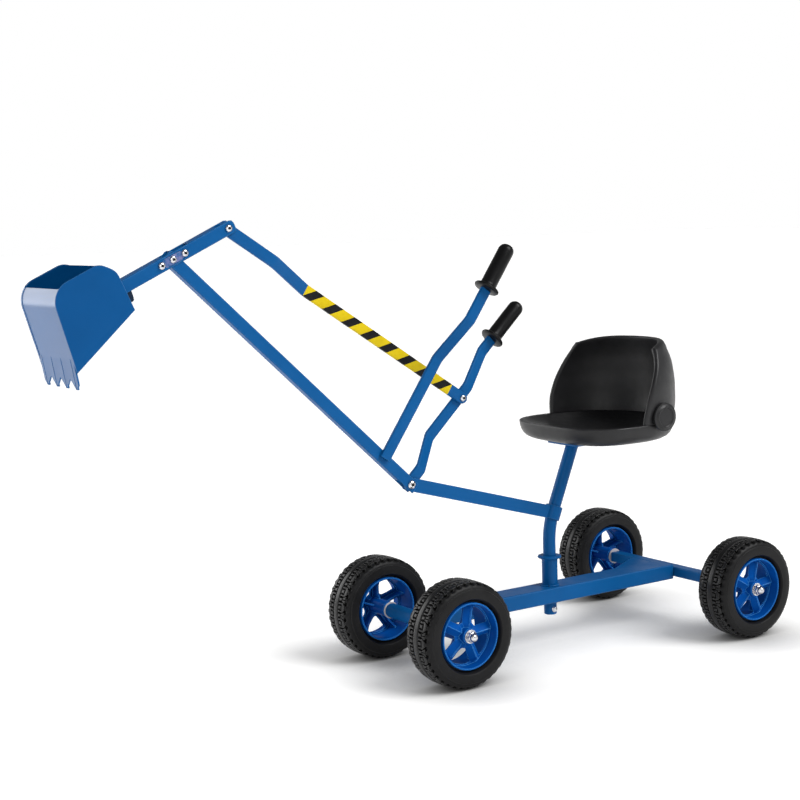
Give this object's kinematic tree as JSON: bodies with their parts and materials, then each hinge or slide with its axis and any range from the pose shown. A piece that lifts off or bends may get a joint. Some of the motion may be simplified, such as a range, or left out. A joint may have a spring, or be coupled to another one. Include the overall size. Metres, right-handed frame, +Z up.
{
  "type": "toy excavator",
  "caption": "Ride-on toy sand digger: wheeled chassis, swivelling seat, hinged boom and toothed bucket worked by levers.",
  "frame": {"origin": "centre of the overall bounding box in plan, on the ground plane under the wheels", "axes": "+X forward, from seat to bucket; +Y to the rider's left; +Z up"},
  "size_m": [1.1454, 0.4156, 0.6703],
  "materials": {
    "blue_powder_coat": "satin powder coat",
    "rim_plastic": "satin moulded plastic",
    "tyre_rubber": "matt moulded tread",
    "zinc_steel": "bright zinc plate",
    "black_plastic": "fine-grained moulded plastic",
    "grey_plastic": "satin",
    "dark_steel": "satin powder coat",
    "striped_bar": "yellow bar with slanting black hazard stripes between blue ends"
  },
  "bodies": {
    "chassis": {"washer_front_left": "zinc_steel", "washer_front_right": "zinc_steel", "washer_rear_left": "zinc_steel", "washer_rear_right": "zinc_steel", "acorn_nut_front_left": "zinc_steel", "acorn_nut_front_right": "zinc_steel", "acorn_nut_rear_left": "zinc_steel", "acorn_nut_rear_right": "zinc_steel", "hub_bush_front_left": "grey_plastic", "hub_bush_front_right": "grey_plastic", "hub_bush_rear_left": "grey_plastic", "hub_bush_rear_right": "grey_plastic", "axle_rod_front": "zinc_steel", "axle_rod_rear": "zinc_steel", "front_axle_tube": "blue_powder_coat", "rear_crossbar": "blue_powder_coat", "main_beam": "blue_powder_coat", "gusset_plate": "blue_powder_coat", "swivel_socket": "blue_powder_coat"},
    "upper_frame": {"seat_post": "blue_powder_coat", "retaining_pin": "zinc_steel", "support_arm": "blue_powder_coat", "base_pivot_bolt": "zinc_steel", "base_pivot_nut": "zinc_steel", "seat_plate": "blue_powder_coat", "seat_pan": "black_plastic", "seat_bolt_front": "zinc_steel", "seat_bolt_rear": "zinc_steel", "seat_back": "black_plastic", "seat_boss_left": "black_plastic", "seat_boss_right": "black_plastic"},
    "boom_group": {"boom": "blue_powder_coat", "left_lever": "blue_powder_coat", "left_grip": "black_plastic"},
    "right_lever_group": {"right_lever": "blue_powder_coat", "right_grip": "black_plastic", "rod_pivot_bolt": "zinc_steel", "rod_pivot_nut": "zinc_steel"},
    "link_rod_group": {"link_rod": "striped_bar"},
    "dipper_group": {"dipper": "blue_powder_coat", "elbow_pivot_bolt": "zinc_steel", "elbow_pivot_nut": "zinc_steel", "elbow_stop_upper_bolt": "zinc_steel", "elbow_stop_upper_nut": "zinc_steel", "elbow_stop_lower_bolt": "zinc_steel", "elbow_stop_lower_nut": "zinc_steel", "top_pivot_bolt": "zinc_steel", "top_pivot_nut": "zinc_steel", "bucket_wrap": "blue_powder_coat", "bucket_side_left": "blue_powder_coat", "bucket_side_right": "blue_powder_coat", "bucket_mount_plate": "dark_steel"},
    "wheel_front_left": {"tyre_front_left": "tyre_rubber", "rim_front_left": "rim_plastic"},
    "wheel_front_right": {"tyre_front_right": "tyre_rubber", "rim_front_right": "rim_plastic"},
    "wheel_rear_left": {"tyre_rear_left": "tyre_rubber", "rim_rear_left": "rim_plastic"},
    "wheel_rear_right": {"tyre_rear_right": "tyre_rubber", "rim_rear_right": "rim_plastic"}
  },
  "joints": [
    {"name": "upper_swivel", "type": "hinge", "parent": "chassis", "child": "upper_frame", "pos_m": [-0.24175, 0, 0.0898], "axis": [0, 0, 1], "continuous": true},
    {"name": "boom_raise", "type": "hinge", "parent": "upper_frame", "child": "boom_group", "pos_m": [0.01955, 0, 0.2804], "axis": [0, -1, 0], "range_deg": [-48, 8]},
    {"name": "dipper_curl", "type": "hinge", "parent": "boom_group", "child": "dipper_group", "pos_m": [0.38685, 0, 0.6219], "axis": [0, -1, 0], "range_deg": [-21, 18]},
    {"name": "right_lever_swing", "type": "hinge", "parent": "boom_group", "child": "right_lever_group", "pos_m": [0.01955, 0, 0.2804], "axis": [0, -1, 0], "range_deg": [-11, 9.5]},
    {"name": "link_rod_swing", "type": "hinge", "parent": "right_lever_group", "child": "link_rod_group", "pos_m": [-0.10165, -0.0302, 0.3938], "axis": [0, -1, 0], "range_deg": [-10.5, 12]},
    {"name": "wheel_front_left_roll", "type": "hinge", "parent": "chassis", "child": "wheel_front_left", "pos_m": [0.01075, 0.105, 0.0775], "axis": [0, 1, 0], "continuous": true},
    {"name": "wheel_front_right_roll", "type": "hinge", "parent": "chassis", "child": "wheel_front_right", "pos_m": [0.01075, -0.105, 0.0775], "axis": [0, 1, 0], "continuous": true},
    {"name": "wheel_rear_left_roll", "type": "hinge", "parent": "chassis", "child": "wheel_rear_left", "pos_m": [-0.49525, 0.1685, 0.0775], "axis": [0, 1, 0], "continuous": true},
    {"name": "wheel_rear_right_roll", "type": "hinge", "parent": "chassis", "child": "wheel_rear_right", "pos_m": [-0.49525, -0.1685, 0.0775], "axis": [0, 1, 0], "continuous": true}
  ],
  "couplings": [
    {"joint": "right_lever_swing", "follows": "dipper_curl", "ratio": 0.48},
    {"joint": "link_rod_swing", "follows": "dipper_curl", "ratio": -0.54}
  ]
}
